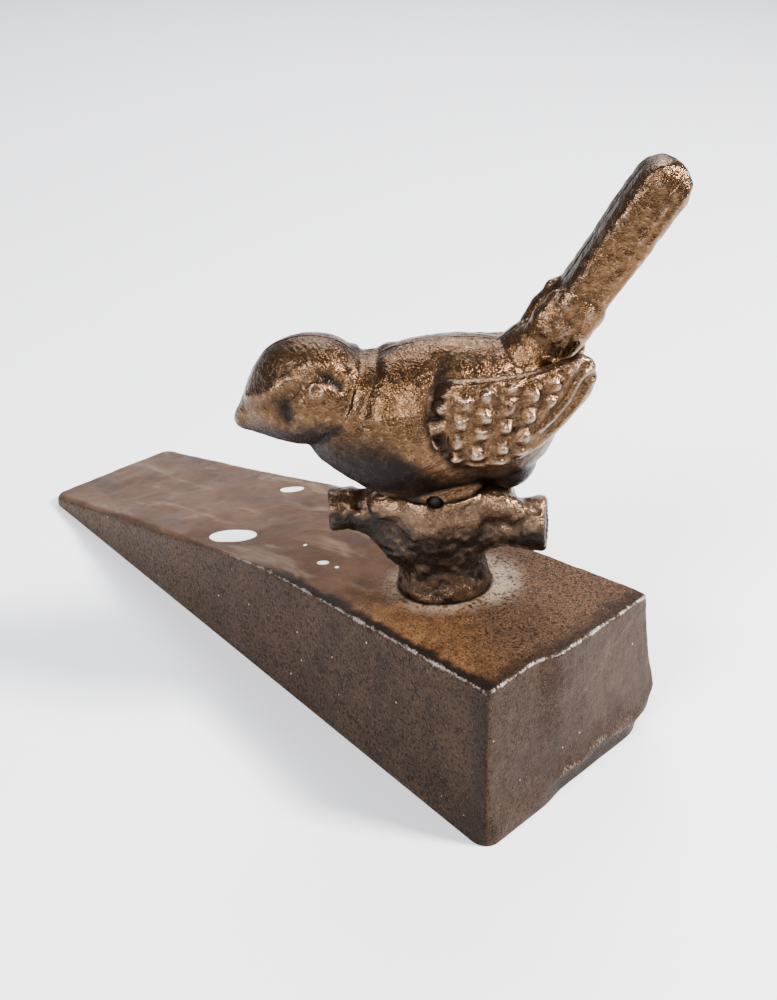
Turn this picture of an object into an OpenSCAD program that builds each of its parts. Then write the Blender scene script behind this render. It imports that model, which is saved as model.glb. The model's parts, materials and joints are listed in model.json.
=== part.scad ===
// Cast-iron wedge door stop with a small bird on a sawn branch.
// Origin: middle of the flat underside. +X runs from the thin toe to the heel, +Z is up.
// The figure is drawn in its own frame: +X where the bird looks, +Y its left, +Z its bolt axis.

/* [Wedge] */
// Length from toe to heel, at the floor
base_length = 150; // [120:1:180]
// Width of the heel at the floor
heel_width = 48; // [44:1:60]
// Width of the toe at the floor
toe_width = 34; // [26:1:44]
// Height of the heel's top edge
heel_height = 30; // [27:0.5:34]
// Height of the blunt toe
toe_height = 2; // [1.5:0.1:4]
// Where the ramp meets the flatter plateau, along X
bend_x = 9; // [0:1:16]
// Height of that bend
bend_height = 23.5; // [21:0.5:25]
// Radius that blends ramp and plateau
bend_radius = 100; // [40:5:110]
// Lean of the heel face
heel_draft = 8; // [2:1:12]
// Lean of the long sides
side_draft = 6.5; // [2:0.5:9]
// Radius of the upright corners
corner_radius = 4; // [2:0.5:8]

/* [Figure place] */
// Where the figure stands, along X
figure_x = 41.5; // [36:0.5:48]
// Direction the bird looks, turned from +X
figure_heading = 226.1; // [0:1:359]
// Height of the joint between branch and bird
seat_height = 21; // [19:0.5:23]

/* [Branch] */
// Radius of the trunk at its foot
foot_radius = 8.6; // [8:0.1:9.5]
// Radius of the trunk under the bird
saddle_radius = 9; // [8.5:0.1:10]
// Radius of a sawn stub
stub_radius = 4.4; // [3.8:0.1:5]
// Length of the stub under the breast, from the bolt axis
front_stub = 20.5; // [17:0.5:23]
// Length of the stub under the tail
rear_stub = 19.5; // [17:0.5:22]

/* [Bird] */
// Radius of the body at its widest
body_radius = 12.9; // [12.5:0.1:14]
// Half of the body's length
body_half_length = 21.5; // [21:0.5:23]
// Wall of the hollow body
wall = 3.5; // [3:0.1:4]
// Radius of the head
head_radius = 9.3; // [8.5:0.1:10]
// Width of the tail, side to side
tail_width = 9.5; // [8:0.5:11]
// Length of the tail from its root in the body
tail_length = 39; // [32:1:41]
// Tilt of the tail above level
tail_tilt = 54; // [48:1:58]

/* [Fasteners] */
// Diameter of the tie bolt
bolt_d = 6; // [6:0.5:6]
// Length of the tie bolt under its head
bolt_length = 50; // [50:1:51]
// Iron left between counterbore and foot, along the bolt
clamp_depth = 16.1; // [15:0.1:16.5]
// Radial clearance of the bolt in its bores
bolt_clearance = 0.07; // [0.03:0.01:0.1]
// Diameter of the screw that joins the halves
screw_d = 5; // [4:0.5:5]

/* [Hidden] */
$fn = 72;
far = 200;

heel_top_x = base_length / 2 - heel_height * tan(heel_draft);
plateau_slope = (heel_height - bend_height) / (heel_top_x - bend_x);
plateau_angle = atan(plateau_slope);
ramp_angle = atan((bend_height - toe_height) / (bend_x + base_length / 2));
figure_z = bend_height + plateau_slope * (figure_x - bend_x);
plan_taper = atan((heel_width - toe_width) / 2 / base_length);

bolt_r = bolt_d / 2;
bore_r = bolt_r + bolt_clearance;
washer_t = 1.6;
washer_r = 6;
washer_bore = 3.2;
head_t = 4;
head_r = 10 / sqrt(3);
nut_t = 5;
counterbore_r = 7.5;
bolt_low = -clamp_depth - washer_t;
floor_height = 24.5;
pocket_gap = 0.5;
thread_gap = 0.02;
nut_low = floor_height + washer_t;

body_height = 33.8;
body_shift = -1.5;
body_pitch = 5;
head_at = [20.3, 0, 40];
rump_at = [-17.4, 0, 42.2];

screw_at = [-7, 0, 37.2];
screw_head_r = 4.4;
screw_head_t = 2.8;
screw_seat = 8.6;
screw_reach = 6;
screw_clearance = 0.1;
boss_r = 4.6;
boss_depth = 8.5;

peg_r = 1.4;
peg_depth = 2.5;
peg_gap = 0.1;
peg_places = [[21, 0, 41], [-21.5, 0, 50.5]];

pin_r = 1.2;
pin_start = 1.8;
pin_length = 5.2;
pin_heading = 84;

// ---------- placing ----------

module on_plateau() {
    translate([figure_x, 0, figure_z]) rotate([0, -plateau_angle, 0]) rotate([0, 0, figure_heading]) children();
}

// Extrudes an outline drawn in X and Z sideways, from y = low to y = high.
module sideways(low, high) {
    translate([0, high, 0]) rotate([90, 0, 0]) linear_extrude(high - low) children();
}

// ---------- wedge ----------

function bend_start() = bend_radius * tan((ramp_angle - plateau_angle) / 2);
function bend_centre() = [
    bend_x - bend_start() * cos(ramp_angle) + bend_radius * sin(ramp_angle),
    bend_height - bend_start() * sin(ramp_angle) - bend_radius * cos(ramp_angle)];
function bend_point(a) = bend_centre() + bend_radius * [-sin(a), cos(a)];

module wedge_profile() {
    steps = 6;
    polygon(concat(
        [[-base_length / 2, 0], [base_length / 2, 0], [heel_top_x, heel_height]],
        [for (i = [0:steps]) bend_point(plateau_angle + (ramp_angle - plateau_angle) * i / steps)],
        [[-base_length / 2, toe_height]]));
}

// Everything outside one long side, which leans in by the draft and follows the plan taper.
module side_waste() {
    translate([base_length / 2, heel_width / 2, 0]) rotate([0, 0, plan_taper]) rotate([side_draft, 0, 0])
        translate([-1.5 * far, 0, -far / 2]) cube([2 * far, far, far]);
}

// What an upright corner loses when it is rounded; the corner is at the origin, iron in +X +Y.
module corner_waste() {
    inset = 0.88 * corner_radius;
    difference() {
        translate([-1, -1, -1]) cube([inset + 1, inset + 1, heel_height + 2]);
        translate([inset, inset, -2]) cylinder(r = corner_radius, h = heel_height + 4);
    }
}

module wedge_blank() {
    difference() {
        sideways(-heel_width, heel_width) wedge_profile();
        for (side = [0, 1]) mirror([0, side, 0]) {
            side_waste();
            translate([base_length / 2, heel_width / 2, 0]) rotate([0, 0, 180 + plan_taper]) corner_waste();
            translate([-base_length / 2, toe_width / 2, 0]) rotate([0, 0, 270 + plan_taper]) corner_waste();
        }
    }
}

module wedge_base() {
    color("#6a5446") difference() {
        wedge_blank();
        on_plateau() {
            translate([0, 0, -far / 2]) cylinder(r = bore_r, h = far);
            translate([0, 0, -clamp_depth - far]) cylinder(r = counterbore_r, h = far);
        }
    }
}

// ---------- branch ----------

module stub(turn, pitch, height, length) {
    translate([0, 0, height]) rotate([0, 0, turn]) rotate([0, 90 - pitch, 0]) {
        cylinder(r = stub_radius + 0.8, h = length * 0.6);
        cylinder(r = stub_radius, h = length);
    }
}

module branch_perch() {
    color("#4a382c") on_plateau() difference() {
        union() {
            rotate_extrude() polygon([[0, 0], [foot_radius, 0], [foot_radius, 1.5], [foot_radius - 0.6, 4],
                [foot_radius - 0.2, 9], [saddle_radius + 1, 14], [saddle_radius, seat_height], [0, seat_height]]);
            stub(0, 3, 15.3, front_stub);
            stub(168, -3, 13.8, rear_stub);
        }
        translate([0, 0, -1]) cylinder(r = bore_r, h = far);
        pin_hole();
    }
}

// A round hole on the joint plane, half in the branch and half in the bird.
module pin_hole() {
    translate([0, 0, seat_height]) rotate([0, 0, pin_heading]) rotate([0, 90, 0])
        translate([0, 0, bolt_r + pin_start]) cylinder(r = pin_r + 0.05, h = 12);
}

module locating_pin() {
    color("#2c2622") on_plateau() translate([0, 0, seat_height]) rotate([0, 0, pin_heading])
        rotate([0, 90, 0]) translate([0, 0, bolt_r + pin_start]) cylinder(r = pin_r, h = pin_length - pin_start);
}

// ---------- bird ----------

// An egg along X, blunt end forward, for the body and, smaller, for its hollow.
module egg(inset) {
    steps = 16;
    translate([body_shift, 0, body_height]) rotate([0, body_pitch, 0]) rotate([0, 90, 0]) rotate_extrude()
        polygon([for (i = [0:steps]) let (t = 180 * i / steps)
            [(body_radius - inset) * sin(t) * (1 + 0.1 * cos(t)), (body_half_length - inset) * cos(t)]]);
}

module neck_and_beak() {
    translate([9, 0, 35.5]) rotate([0, 68, 0]) cylinder(r1 = 11, r2 = 8.6, h = 12);
    translate(head_at) sphere(r = head_radius);
    translate(head_at + [3.2, 0, -0.8]) sphere(r = head_radius - 1.2);
    translate(head_at + [7, 0, -1]) rotate([0, 104, 0]) cylinder(r1 = 5.6, r2 = 0.9, h = 7.6);
}

module tail() {
    tip_r = 3.6;
    sideways(-tail_width / 2, tail_width / 2) translate([rump_at[0], rump_at[2]]) rotate(180 - tail_tilt) {
        polygon([[-4, -3], [4, -4], [tail_length - tip_r, -tip_r], [tail_length - tip_r, tip_r],
            [6, 5], [-4, 5.5]]);
        translate([tail_length - tip_r, 0]) circle(r = tip_r);
    }
    for (side = [-1, 1]) translate(rump_at + [-3.6, side * 3.2, 7]) sphere(r = 5.4);
}

// A crowned pad on the flank that runs back to the wing's tip.
module wing() {
    crown = 36;
    intersection() {
        sideways(2, 16) polygon([[1.5, 42], [2.2, 35], [0, 29], [-6, 26.8], [-14, 28.5], [-21, 34],
            [-26, 40], [-26.5, 42.5], [-22, 44], [-12, 45], [-4, 45.5]]);
        translate([-4.5, 14 - crown, 36]) sphere(r = crown);
    }
}

module bird_blank() {
    difference() {
        union() {
            egg(0);
            neck_and_beak();
            tail();
            for (side = [0, 1]) mirror([0, side, 0]) wing();
            translate([0, 0, seat_height]) cylinder(r = saddle_radius - 1.2, h = 8);
        }
        translate([-far / 2, -far / 2, seat_height - far]) cube([far, far, far]);
        difference() {
            egg(wall);
            translate([-far / 2, -far / 2, -far + floor_height]) cube([far, far, far]);
            translate(screw_at) rotate([90, 0, 0]) cylinder(r = boss_r, h = far, center = true);
        }
        translate([0, 0, floor_height]) cylinder(r = washer_r + pocket_gap, h = nut_t + 2 * washer_t);
        translate([0, 0, seat_height - 1]) cylinder(r = bore_r, h = 9);
        pin_hole();
    }
}

module keep_side(side) {
    intersection() {
        children();
        translate([-far / 2, side > 0 ? 0 : -far, -far / 2]) cube([far, far, far]);
    }
}

module bird_left_half() {
    color("#5a4432") on_plateau() {
        difference() {
            keep_side(1) bird_blank();
            translate(screw_at + [0, -1, 0]) rotate([-90, 0, 0])
                cylinder(r = screw_d / 2 + thread_gap, h = boss_depth + 1);
        }
        for (place = peg_places) translate(place + [0, -peg_depth, 0]) rotate([-90, 0, 0])
            cylinder(r = peg_r, h = peg_depth + peg_gap);
    }
}

module bird_right_half() {
    color("#55402f") on_plateau() difference() {
        keep_side(-1) bird_blank();
        translate(screw_at + [0, 1, 0]) rotate([90, 0, 0])
            cylinder(r = screw_d / 2 + screw_clearance, h = far);
        translate(screw_at + [0, -screw_seat, 0]) rotate([90, 0, 0])
            cylinder(r = screw_head_r + screw_clearance, h = far);
        for (place = peg_places) translate(place + [0, 1, 0]) rotate([90, 0, 0])
            cylinder(r = peg_r + peg_gap, h = peg_depth + 1 + peg_gap);
    }
}

// ---------- fasteners ----------

module halves_screw() {
    color("#8b8074") on_plateau() translate(screw_at) rotate([90, 0, 0]) difference() {
        union() {
            translate([0, 0, -screw_reach]) cylinder(r = screw_d / 2, h = screw_reach + screw_seat);
            translate([0, 0, screw_seat]) cylinder(r = screw_head_r, h = screw_head_t);
        }
        translate([-far / 2, -0.6, screw_seat + screw_head_t - 1.3]) cube([far, 1.2, 3]);
    }
}

module tie_bolt() {
    color("#9a9a98") on_plateau() translate([0, 0, bolt_low]) {
        cylinder(r = bolt_r, h = bolt_length);
        translate([0, 0, -head_t]) cylinder(r = head_r, h = head_t, $fn = 6);
    }
}

module washer_ring(outer) {
    difference() {
        cylinder(r = outer, h = washer_t);
        translate([0, 0, -1]) cylinder(r = washer_bore, h = washer_t + 2);
    }
}

module spring_washer() {
    color("#7d7d7a") on_plateau() translate([0, 0, bolt_low]) difference() {
        washer_ring(5.4);
        translate([4, 0, washer_t / 2]) rotate([25, 0, 0]) cube([5, 0.8, 6], center = true);
    }
}

module plain_washer() {
    color("#a3a3a0") on_plateau() translate([0, 0, floor_height]) washer_ring(washer_r);
}

module tie_nut() {
    color("#9a9a98") on_plateau() translate([0, 0, nut_low]) difference() {
        cylinder(r = head_r, h = nut_t, $fn = 6);
        translate([0, 0, -1]) cylinder(r = bolt_r + thread_gap, h = nut_t + 2);
    }
}

wedge_base();
branch_perch();
bird_left_half();
bird_right_half();
halves_screw();
locating_pin();
tie_bolt();
spring_washer();
plain_washer();
tie_nut();
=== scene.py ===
# Door stop: a cast-iron wedge with a small bronzed bird on a sawn branch, turning on its tie bolt.
# Shapes are worked out in millimetres and become meshes in metres.
import json
import math

import bmesh
import bpy
import numpy as np
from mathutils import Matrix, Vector


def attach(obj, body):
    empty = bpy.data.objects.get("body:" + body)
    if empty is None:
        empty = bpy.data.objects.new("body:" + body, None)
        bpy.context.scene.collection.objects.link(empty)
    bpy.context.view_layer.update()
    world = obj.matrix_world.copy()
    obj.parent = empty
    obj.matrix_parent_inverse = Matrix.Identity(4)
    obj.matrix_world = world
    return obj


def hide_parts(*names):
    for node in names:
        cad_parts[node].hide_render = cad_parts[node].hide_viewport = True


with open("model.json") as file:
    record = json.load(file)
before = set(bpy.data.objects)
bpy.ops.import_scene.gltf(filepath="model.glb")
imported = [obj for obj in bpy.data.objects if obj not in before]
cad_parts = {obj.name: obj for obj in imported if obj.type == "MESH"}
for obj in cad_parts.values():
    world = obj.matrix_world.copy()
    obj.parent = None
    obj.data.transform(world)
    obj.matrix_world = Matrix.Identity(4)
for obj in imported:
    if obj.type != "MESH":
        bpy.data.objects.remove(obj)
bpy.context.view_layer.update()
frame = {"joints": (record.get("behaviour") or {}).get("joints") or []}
mm = 0.001
print("frame loaded")

swivel = frame["joints"][0]
footPlace = np.array(swivel["pos_m"]) / mm  # where the bolt axis meets the wedge's top
boltAxis = np.array(swivel["axis"])
figurePlace = {"heading": 226.1}  # degrees from +X to where the bird looks
boltBore = 3.07  # radius of the hole that the tie bolt runs through
footRadius = 8.6  # of the branch, where it stands on the wedge


# A turn about Y that lifts +X towards +Z by an angle.
def tipUp(angle):
    c, s = math.cos(angle), math.sin(angle)
    return np.array([[c, 0, -s], [0, 1, 0], [s, 0, c]])


# Columns are the figure's forward, left and up directions: a turn about Z by the heading,
# then a tip about Y that lays Z on the bolt axis.
def figureTurn():
    turn = math.radians(figurePlace["heading"])
    c, s = math.cos(turn), math.sin(turn)
    return tipUp(math.atan2(-boltAxis[0], boltAxis[2])) @ np.array([[c, -s, 0], [s, c, 0], [0, 0, 1]])


turned = figureTurn()


# Points in the figure's own directions, from the foot, to the whole object's frame.
def onFigure(points):
    return points @ turned.T + footPlace


# A natural cubic spline through rows of numbers; its knots are the square roots of the distances, summed.
def splineThrough(stations, count):
    rows = np.array(stations, float)
    knots = np.concatenate([[0], np.cumsum(np.linalg.norm(np.diff(rows, axis=0), axis=1) ** 0.5)])
    h = np.diff(knots)
    n = len(rows)
    a = np.eye(n)
    b = np.zeros_like(rows)
    i = np.arange(1, n - 1)
    a[i, i - 1] = h[:-1]
    a[i, i] = 2 * (h[:-1] + h[1:])
    a[i, i + 1] = h[1:]
    slope = np.diff(rows, axis=0) / h[:, None]
    b[1:-1] = 6 * (slope[1:] - slope[:-1])
    bend = np.linalg.solve(a, b)
    t = np.linspace(0, knots[-1], count)
    k = np.clip(np.searchsorted(knots, t, side="right") - 1, 0, n - 2)
    s = (t - knots[k])[:, None]
    g = h[k][:, None]
    start = slope[k] - g * (2 * bend[k] + bend[k + 1]) / 6
    return rows[k] + s * (start + s * (bend[k] / 2 + s * (bend[k + 1] - bend[k]) / (6 * g)))


# 0 below low, 1 above high, 3t^2 - 2t^3 between.
def smoothStep(value, low, high):
    t = np.clip((value - low) / (high - low), 0, 1)
    return t * t * (3 - 2 * t)


# A bell: e to the minus (value / width) squared.
def bell(value, width):
    return np.exp(-(value / width) ** 2)


# Random values from -1 to 1 on a cubic lattice of that size, blended with 3t^2 - 2t^3.
def lumps(points, size, seed):
    side = 32
    lattice = np.random.default_rng(seed).uniform(-1, 1, (side, side, side))
    p = points / size + 1000.5
    cell = np.floor(p).astype(int)
    t = p - cell
    t = t * t * (3 - 2 * t)
    total = np.zeros(len(points))
    for corner in np.ndindex(2, 2, 2):
        c = np.array(corner)
        i = (cell + c) % side
        total += np.prod(np.where(c == 1, t, 1 - t), axis=1) * lattice[i[:, 0], i[:, 1], i[:, 2]]
    return total


# Lumps at that size, plus half as much at half the size, and so on.
def layered(points, size, seed, layers=3):
    return sum(lumps(points, size / 2 ** k, seed + k) / 2 ** k for k in range(layers))


# Distance in the XZ plane to a line of points.
def distanceTo(line, x, z):
    best = np.full(len(x), 1e9)
    for (ax, az), (bx, bz) in zip(line[:-1], line[1:]):
        dx, dz = bx - ax, bz - az
        t = np.clip(((x - ax) * dx + (z - az) * dz) / (dx * dx + dz * dz), 0, 1)
        best = np.minimum(best, np.hypot(x - ax - t * dx, z - az - t * dz))
    return best


# A bell of that width to either side of a line in the XZ plane.
def bellAlong(line, width, x, z):
    return bell(distanceTo(line, x, z), width)


# Angles spread evenly round a circle.
def circle(count):
    return np.linspace(0, 2 * math.pi, count, endpoint=False)


# A circle bent towards a square: |c| ^ power + |s| ^ power = 1.
def squareCircle(a, power):
    c, s = np.cos(a), np.sin(a)
    return np.sign(c) * np.abs(c) ** (2 / power), np.sign(s) * np.abs(s) ** (2 / power)


# Points at radius r and angle a round Z: x = r cos a, y = r sin a.
def roundZ(r, a, z):
    return np.stack([r * np.cos(a), r * np.sin(a), z + 0 * a], axis=-1)


# Sections across X, joined by a spline. A station is x, centre y, centre z, half width, half height, and its
# section is |y / width| ^ power + |z / height| ^ power = 1.
def ovalRings(stations, count, around, power=2.0):
    s = splineThrough(stations, count)
    c, d = squareCircle(circle(around), power)
    w = np.maximum(s[:, 3], 0.02)[:, None]
    h = np.maximum(s[:, 4], 0.02)[:, None]
    return np.stack([np.repeat(s[:, :1], around, axis=1), s[:, 1:2] + w * c, s[:, 2:3] + h * d], axis=-1)


# A round section carried along a path and square to it. A station is x, y, z, radius; the ends are rounded
# over by the given length.
def branchRings(stations, count=60, around=48, roundEnd=0.8):
    p = splineThrough(stations, count)
    ahead = np.gradient(p[:, :3], axis=0)
    ahead /= np.linalg.norm(ahead, axis=1, keepdims=True)
    side = np.cross(ahead, np.where(np.abs(ahead[:, 2:3]) > 0.9, [[1.0, 0, 0]], [[0, 0, 1.0]]))
    side /= np.linalg.norm(side, axis=1, keepdims=True)
    up = np.cross(side, ahead)
    gone = np.concatenate([[0], np.cumsum(np.linalg.norm(np.diff(p[:, :3], axis=0), axis=1))])
    left = np.clip((gone[-1] - gone) / roundEnd, 0, 1)
    r = p[:, 3] - roundEnd * (1 - np.sqrt(1 - (1 - left) ** 2))
    a = circle(around)
    ring = np.cos(a)[None, :, None] * side[:, None] + np.sin(a)[None, :, None] * up[:, None]
    return p[:, None, :3] + r[:, None, None] * ring


# An ellipsoid with its long way along X, turned about Y.
def egg(centre, radii, pitch=0, count=40, around=48):
    t = np.linspace(0.03, math.pi - 0.03, count)[:, None]
    a = circle(around)
    p = np.stack([np.cos(t) + 0 * a, np.sin(t) * np.cos(a), np.sin(t) * np.sin(a)], axis=-1) * np.array(radii)
    return p @ tipUp(math.radians(pitch)).T + np.array(centre)


# An outline of radius and height turned about Z.
def turnedRings(outline, around=64):
    o = np.array(outline, float)[:, :, None]
    return roundZ(o[:, 0], circle(around), o[:, 1])


def mirrored(grid):
    return grid * np.array([1, -1, 1])


# One mesh of closed shells. A grid is rings x points of a ring x 3, and a fan closes each end;
# a looped grid has no ends, because its last ring joins its first.
def shellMesh(name, grids, looped=False):
    points, faces, start = [], [], 0
    for grid in grids:
        n, m, _ = grid.shape
        i = np.arange(n if looped else n - 1)[:, None]
        j = np.arange(m)[None, :]
        a, b = i * m + j, i * m + (j + 1) % m
        c, d = ((i + 1) % n) * m + (j + 1) % m, ((i + 1) % n) * m + j
        faces += (np.stack([a, b, c, d], axis=-1).reshape(-1, 4) + start).tolist()
        points.append(grid.reshape(-1, 3))
        if not looped:
            ring = np.arange(m)
            onward = (ring + 1) % m
            end = (n - 1) * m
            faces += (np.stack([np.full(m, n * m), onward, ring], axis=-1) + start).tolist()
            faces += (np.stack([np.full(m, n * m + 1), ring + end, onward + end], axis=-1) + start).tolist()
            points += [grid[:1].mean(axis=1), grid[-1:].mean(axis=1)]
        start += n * m + (0 if looped else 2)
    mesh = bpy.data.meshes.new(name)
    mesh.from_pydata((np.concatenate(points) * mm).tolist(), [], faces)
    work = bmesh.new()
    work.from_mesh(mesh)
    bmesh.ops.recalc_face_normals(work, faces=work.faces)
    work.to_mesh(mesh)
    work.free()
    return mesh


def added(name, data):
    thing = bpy.data.objects.new(name, data)
    bpy.context.scene.collection.objects.link(thing)
    return thing


def place(name, mesh):
    mesh.polygons.foreach_set("use_smooth", np.ones(len(mesh.polygons), bool))
    return added(name, mesh)


# Replaces a piece's mesh by the one that its modifiers make.
def applied(piece):
    depsgraph = bpy.context.evaluated_depsgraph_get()
    mesh = bpy.data.meshes.new_from_object(piece.evaluated_get(depsgraph))
    old = piece.data
    piece.modifiers.clear()
    piece.data = mesh
    bpy.data.meshes.remove(old)
    return piece


# Melts overlapping shells into one skin: voxels, a few rounds of smoothing, then faces half the size.
def fused(name, grids, voxel, smoothing):
    piece = place(name, shellMesh(name, grids))
    melt = piece.modifiers.new("melt", "REMESH")
    melt.mode = "VOXEL"
    melt.voxel_size = voxel * mm
    melt.use_smooth_shade = True
    soft = piece.modifiers.new("soft", "SMOOTH")
    soft.factor = 0.5
    soft.iterations = smoothing
    fine = piece.modifiers.new("fine", "SUBSURF")
    fine.levels = fine.render_levels = 1
    return applied(piece)


# Cuts tools out of a piece, or keeps only what is inside them, and throws the tools away.
def cut(piece, tools, operation="DIFFERENCE"):
    for cutter in tools:
        step = piece.modifiers.new(cutter.name, "BOOLEAN")
        step.operation = operation
        step.solver = "MANIFOLD"
        step.object = cutter
    applied(piece)
    for cutter in tools:
        bpy.data.objects.remove(cutter)
    return piece


def tool(name, grid):
    return place(name, shellMesh(name, [grid]))


def getPoints(mesh):
    co = np.empty(len(mesh.vertices) * 3, np.float32)
    mesh.vertices.foreach_get("co", co)
    return co.reshape(-1, 3).astype(float) / mm


def getNormals(mesh):
    no = np.empty(len(mesh.vertices) * 3, np.float32)
    mesh.vertex_normals.foreach_get("vector", no)
    return no.reshape(-1, 3).astype(float)


def setPoints(mesh, points):
    mesh.vertices.foreach_set("co", (points * mm).astype(np.float32).ravel())
    mesh.update()


# Values at each point that a material can read by name.
def setMasks(mesh, **masks):
    for name, values in masks.items():
        layer = mesh.attributes.new(name, "FLOAT", "POINT")
        layer.data.foreach_set("value", np.asarray(values, np.float32))


# How far each point stands above the mean of its neighbours after some rounds of averaging, in mm.
def standProud(mesh, rounds):
    edges = np.empty(len(mesh.edges) * 2, np.int32)
    mesh.edges.foreach_get("vertices", edges)
    a, b = edges.reshape(-1, 2).T
    n = len(mesh.vertices)
    degree = np.maximum(np.bincount(a, minlength=n) + np.bincount(b, minlength=n), 1)
    here = getPoints(mesh)
    mean = here.copy()
    for _ in range(rounds):
        total = [np.bincount(a, mean[b, k], n) + np.bincount(b, mean[a, k], n) for k in range(3)]
        mean = np.stack(total, axis=-1) / degree[:, None]
    return np.sum((here - mean) * getNormals(mesh), axis=1)


def finish(piece, body, slot, material, *nodes):
    piece.data.materials.clear()
    piece.data.materials.append(material)
    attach(piece, body)
    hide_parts(*nodes)


shot = {"place": (0.1682, -0.1364, 0.1587), "azimuth": 46.1, "elevation": 31.5, "lens": 43.99}


def makeCamera():
    data = bpy.data.cameras.new("camera")
    data.lens = shot["lens"]
    data.sensor_width = 36
    data.clip_start = 0.01
    camera = added("camera", data)
    a, e = math.radians(shot["azimuth"]), math.radians(shot["elevation"])
    back = Vector((math.sin(a) * math.cos(e), -math.cos(a) * math.cos(e), math.sin(e)))
    camera.location = shot["place"]
    camera.rotation_euler = back.to_track_quat("Z", "Y").to_euler()
    bpy.context.scene.camera = camera


makeCamera()
print("camera set")


# A socket whose value can be written in sums: every operator adds a Math node.
class Value:
    def __init__(self, recipe, socket):
        self.recipe = recipe
        self.socket = socket

    def math(self, operation, *others):
        inputs = dict(enumerate((self, *others)))
        return self.recipe.node("ShaderNodeMath", {"operation": operation}, inputs)

    def __add__(self, other):
        return self.math("ADD", other)

    def __sub__(self, other):
        return self.math("SUBTRACT", other)

    def __mul__(self, other):
        return self.math("MULTIPLY", other)

    def __truediv__(self, other):
        return self.math("DIVIDE", other)

    def __rsub__(self, other):
        return self.recipe.node("ShaderNodeMath", {"operation": "SUBTRACT"}, {0: other, 1: self})

    __radd__ = __add__
    __rmul__ = __mul__

    def clamped(self):
        return self.recipe.node("ShaderNodeMath", {"operation": "ADD", "use_clamp": True}, {0: self, 1: 0.0})

    # 0 at low, 1 at high, smooth between; low may be the larger
    def step(self, low, high):
        flip = low > high
        settings = {"interpolation_type": "SMOOTHSTEP"}
        inputs = {"Value": self, "From Min": min(low, high), "From Max": max(low, high),
                  "To Min": 1.0 if flip else 0.0, "To Max": 0.0 if flip else 1.0}
        return self.recipe.node("ShaderNodeMapRange", settings, inputs)


# A material being mixed: node() adds any node, and its first output comes back as a Value.
class Recipe:
    def __init__(self, name):
        self.material = bpy.data.materials.new(name)
        self.material.use_nodes = True
        self.tree = self.material.node_tree
        self.shader = self.tree.nodes["Principled BSDF"]
        self.place = self.node("ShaderNodeTexCoord", output="Object")
        self.x, self.y, self.z = [self.split(self.place, k) for k in "XYZ"]

    def link(self, socket, value):
        if isinstance(value, Value):
            self.tree.links.new(value.socket, socket)
        elif hasattr(socket.default_value, "__len__") and len(socket.default_value) == 4:
            socket.default_value = (*value, 1)
        else:
            socket.default_value = value

    def node(self, kind, settings=None, inputs=None, output=0):
        made = self.tree.nodes.new(kind)
        for key, setting in (settings or {}).items():
            setattr(made, key, setting)
        for key, value in (inputs or {}).items():
            self.link(made.inputs[key], value)
        return Value(self, made.outputs[output])

    def split(self, vector, axis):
        return self.node("ShaderNodeSeparateXYZ", inputs={"Vector": vector}, output=axis)

    def mask(self, name):
        return self.node("ShaderNodeAttribute", {"attribute_name": name}, output="Fac")

    # Noise whose features are that many mm across; stretch scales the axes first
    def noise(self, size, detail=3.0, rough=0.55, stretch=None, warp=0.0):
        where = self.place
        if stretch:
            where = self.node("ShaderNodeMapping", inputs={"Vector": where, "Scale": stretch})
        inputs = {"Vector": where, "Scale": 1 / (size * mm), "Detail": detail, "Roughness": rough,
                  "Distortion": warp}
        return self.node("ShaderNodeTexNoise", inputs=inputs, output="Fac")

    # Voronoi cells of that many mm: distance to the cell's middle, or a random value for each cell
    def cells(self, size, output="Distance"):
        inputs = {"Vector": self.place, "Scale": 1 / (size * mm)}
        found = self.node("ShaderNodeTexVoronoi", None, inputs, output)
        return self.split(found, "X") if output == "Color" else found

    def mix(self, first, second, factor):
        return self.node("ShaderNodeMix", {"data_type": "RGBA"}, {0: factor, 6: first, 7: second}, output=2)

    # Coats laid over a colour one after another, each by its own factor
    def over(self, colour, *coats):
        for coat, factor in coats:
            colour = self.mix(colour, coat, factor)
        return colour

    def bump(self, height, depth, strength=1.0, normal=None):
        inputs = {"Height": height, "Distance": depth * mm, "Strength": strength}
        if normal:
            inputs["Normal"] = normal
        return self.node("ShaderNodeBump", inputs=inputs)

    def set(self, **sockets):
        for key, value in sockets.items():
            self.link(self.shader.inputs[key.replace("_", " ")], value)
        return self.material


studio = {
    "sky": (0.86, 0.88, 0.93), "skyStrength": 0.42, "paper": (0.90, 0.905, 0.93), "floorReach": 6.0,
    "look": "AgX - Medium High Contrast", "aim": (0.02, 0, 0.04),
    # place, size, watts, colour
    "lamps": {
        "window": ((0.50, 0.34, 0.56), (0.14, 0.14), 12, (1.0, 0.985, 0.96)),
        "front": ((0.10, -0.80, 0.66), (0.40, 0.34), 10, (0.97, 0.98, 1.0)),
        "back": ((-0.45, 0.50, 0.70), (0.50, 0.44), 6, (0.95, 0.97, 1.0)),
        "spark": ((0.50, -0.42, 0.60), (0.10, 0.10), 1.8, (1.0, 0.99, 0.97)),
    },
}


def addLamp(name, spot, size, watts, colour):
    data = bpy.data.lights.new(name, "AREA")
    data.shape = "RECTANGLE"
    data.size, data.size_y = size
    data.energy = watts
    data.color = colour
    lamp = added(name, data)
    lamp.location = spot
    lamp.rotation_euler = (Vector(spot) - Vector(studio["aim"])).to_track_quat("Z", "Y").to_euler()


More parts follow.
